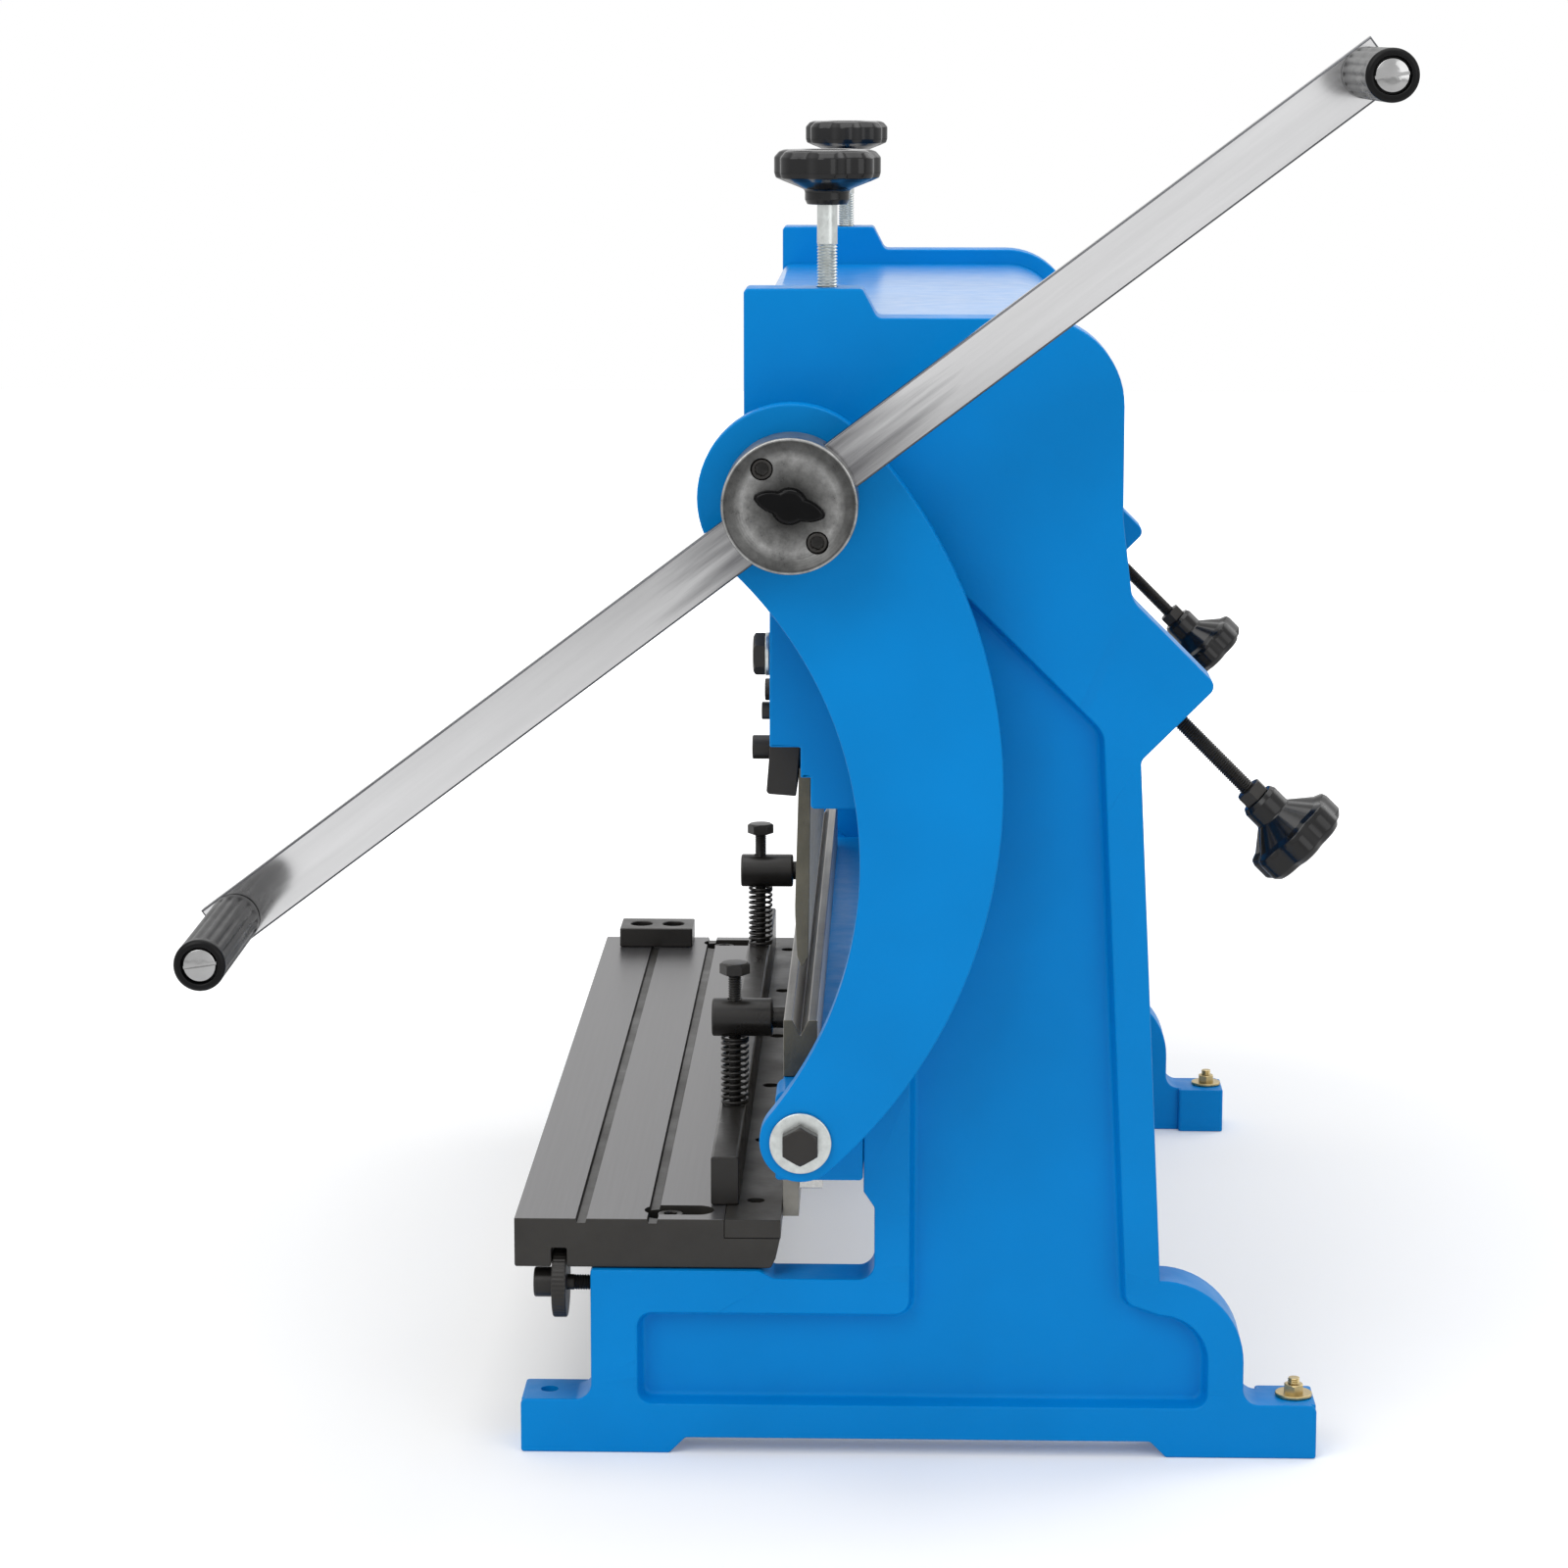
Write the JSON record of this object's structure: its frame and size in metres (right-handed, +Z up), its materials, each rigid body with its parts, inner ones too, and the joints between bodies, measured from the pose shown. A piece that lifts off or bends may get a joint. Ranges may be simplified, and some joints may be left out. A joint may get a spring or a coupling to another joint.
{
  "type": "slip roll machine",
  "caption": "Bench machine that rolls, bends and shears sheet metal, with a double-ended crank, three rolls, a brake die and a shear table.",
  "frame": {"origin": "on the bench plane, under the middle of the box that holds the whole machine", "axes": "+Z up from the bench, +Y from the shear table at the front to the rear knobs, +X to the crank side"},
  "size_m": [0.8858, 0.5614, 0.6998],
  "materials": {
    "blue_paint": "gloss paint over a fine cast texture",
    "raw_steel": "milled, oiled",
    "ground_steel": "ground",
    "black_steel": "blackened steel, satin",
    "black_oxide": "black oxide",
    "chrome_plate": "bright plate over brushed bar",
    "zinc_plate": "zinc plate",
    "yellow_zinc": "yellow chromated zinc",
    "black_plastic": "moulded, glossy",
    "bearing_bronze": "turned"
  },
  "bodies": {
    "frame": {"near_side_frame": "blue_paint", "far_side_frame": "blue_paint", "top_cover": "blue_paint", "front_beam": "blue_paint", "near_rear_foot_bolt": "yellow_zinc", "far_rear_foot_bolt": "yellow_zinc", "near_beam_bolt": "black_oxide", "far_beam_bolt": "black_oxide", "brake_finger_1": "raw_steel", "brake_finger_2": "raw_steel", "brake_finger_3": "raw_steel", "brake_finger_4": "raw_steel", "brake_finger_5": "raw_steel", "finger_clamp_bar": "black_oxide", "near_crank_bush": "bearing_bronze", "far_crank_bush": "bearing_bronze", "near_table_bolt": "black_oxide", "far_table_bolt": "black_oxide"},
    "ram": {"ram": "blue_paint", "brake_die": "ground_steel", "upper_blade": "raw_steel", "blade_backing_bar": "ground_steel", "near_ram_keeper": "raw_steel", "far_ram_keeper": "raw_steel", "near_link": "blue_paint", "far_link": "blue_paint", "near_eccentric": "raw_steel", "far_eccentric": "raw_steel", "near_link_bolt": "zinc_plate", "far_link_bolt": "zinc_plate", "near_hold_down_barrel": "black_oxide", "far_hold_down_barrel": "black_oxide", "near_hold_down_spring": "black_oxide", "far_hold_down_spring": "black_oxide"},
    "hold_down": {"pressure_bar": "black_oxide"},
    "crank": {"drive_roll": "ground_steel", "drive_gear": "raw_steel", "crank_hub": "raw_steel", "crank_bar": "chrome_plate", "far_shaft_collar": "black_oxide"},
    "front_grip": {"front_grip": "black_plastic"},
    "rear_grip": {"rear_grip": "black_plastic"},
    "upper_carrier": {"near_upper_bearing": "bearing_bronze", "far_upper_bearing": "bearing_bronze"},
    "upper_roll": {"upper_roll": "ground_steel", "upper_gear": "raw_steel"},
    "near_top_knob": {"near_top_knob": "black_plastic", "near_top_screw": "zinc_plate"},
    "far_top_knob": {"far_top_knob": "black_plastic", "far_top_screw": "zinc_plate"},
    "rear_carrier": {"near_rear_bearing": "bearing_bronze", "far_rear_bearing": "bearing_bronze"},
    "rear_roll": {"rear_roll": "ground_steel"},
    "near_rear_knob": {"near_rear_knob": "black_plastic"},
    "far_rear_knob": {"far_rear_knob": "black_plastic"},
    "table": {"shear_table": "black_steel", "lower_blade": "black_steel", "work_guide": "black_oxide"},
    "near_table_adjuster": {"near_table_adjuster": "black_oxide"},
    "far_table_adjuster": {"far_table_adjuster": "black_oxide"}
  },
  "joints": [
    {"name": "crank_turn", "type": "hinge", "parent": "frame", "child": "crank", "pos_m": [0, 0, 0.484], "axis": [1, 0, 0], "continuous": true},
    {"name": "front_grip_spin", "type": "hinge", "parent": "crank", "child": "front_grip", "pos_m": [0.3909, -0.26435, 0.2848], "axis": [1, 0, 0], "continuous": true},
    {"name": "rear_grip_spin", "type": "hinge", "parent": "crank", "child": "rear_grip", "pos_m": [0.3909, 0.26435, 0.6832], "axis": [1, 0, 0], "continuous": true},
    {"name": "upper_roll_lift", "type": "slide", "parent": "frame", "child": "upper_carrier", "axis": [0, 0, 1], "range_m": [0, 0.008]},
    {"name": "upper_roll_spin", "type": "hinge", "parent": "upper_carrier", "child": "upper_roll", "pos_m": [0, 0.0157, 0.5197], "axis": [1, 0, 0], "continuous": true},
    {"name": "near_top_knob_turn", "type": "hinge", "parent": "upper_carrier", "child": "near_top_knob", "pos_m": [0.2605, 0.0157, 0.6], "axis": [0, 0, 1], "range_deg": [0, 1921]},
    {"name": "far_top_knob_turn", "type": "hinge", "parent": "upper_carrier", "child": "far_top_knob", "pos_m": [-0.3763, 0.0157, 0.6], "axis": [0, 0, 1], "range_deg": [0, 1921]},
    {"name": "rear_roll_adjust", "type": "slide", "parent": "frame", "child": "rear_carrier", "axis": [0, -0.7071, 0.7071], "range_m": [-0.01, 0.018]},
    {"name": "rear_roll_spin", "type": "hinge", "parent": "rear_carrier", "child": "rear_roll", "pos_m": [0, 0.068, 0.49], "axis": [1, 0, 0], "continuous": true},
    {"name": "near_rear_knob_turn", "type": "hinge", "parent": "rear_carrier", "child": "near_rear_knob", "pos_m": [0.2605, 0.2, 0.358], "axis": [0, 0.7071, -0.7071], "range_deg": [-5185, 2881]},
    {"name": "far_rear_knob_turn", "type": "hinge", "parent": "rear_carrier", "child": "far_rear_knob", "pos_m": [-0.3763, 0.2, 0.358], "axis": [0, 0.7071, -0.7071], "range_deg": [-5185, 2881]},
    {"name": "ram_slide", "type": "slide", "parent": "frame", "child": "ram", "axis": [0, 0, 1], "range_m": [0, 0.024]},
    {"name": "hold_down_slide", "type": "slide", "parent": "ram", "child": "hold_down", "axis": [0, 0, 1], "range_m": [0, 0.008], "stiffness_N_per_m": 4000, "springref_m": -0.01, "deforming": ["near_hold_down_spring", "far_hold_down_spring"]},
    {"name": "table_slide", "type": "slide", "parent": "frame", "child": "table", "axis": [0, 1, 0], "range_m": [-0.004, 0]},
    {"name": "near_table_adjuster_turn", "type": "hinge", "parent": "table", "child": "near_table_adjuster", "pos_m": [0.2621, -0.12, 0.084], "axis": [0, -1, 0], "range_deg": [0, 1153]},
    {"name": "far_table_adjuster_turn", "type": "hinge", "parent": "table", "child": "far_table_adjuster", "pos_m": [-0.3779, -0.12, 0.084], "axis": [0, -1, 0], "range_deg": [0, 1153]}
  ],
  "couplings": [
    {"joint": "upper_roll_spin", "follows": "crank_turn", "ratio": -1},
    {"joint": "near_top_knob_turn", "follows": "upper_roll_lift", "rad_per_m": 4188.8},
    {"joint": "far_top_knob_turn", "follows": "upper_roll_lift", "rad_per_m": 4188.8},
    {"joint": "near_rear_knob_turn", "follows": "rear_roll_adjust", "rad_per_m": -5026.5},
    {"joint": "far_rear_knob_turn", "follows": "rear_roll_adjust", "rad_per_m": -5026.5},
    {"joint": "near_table_adjuster_turn", "follows": "table_slide", "rad_per_m": -5026.5},
    {"joint": "far_table_adjuster_turn", "follows": "table_slide", "rad_per_m": -5026.5}
  ]
}
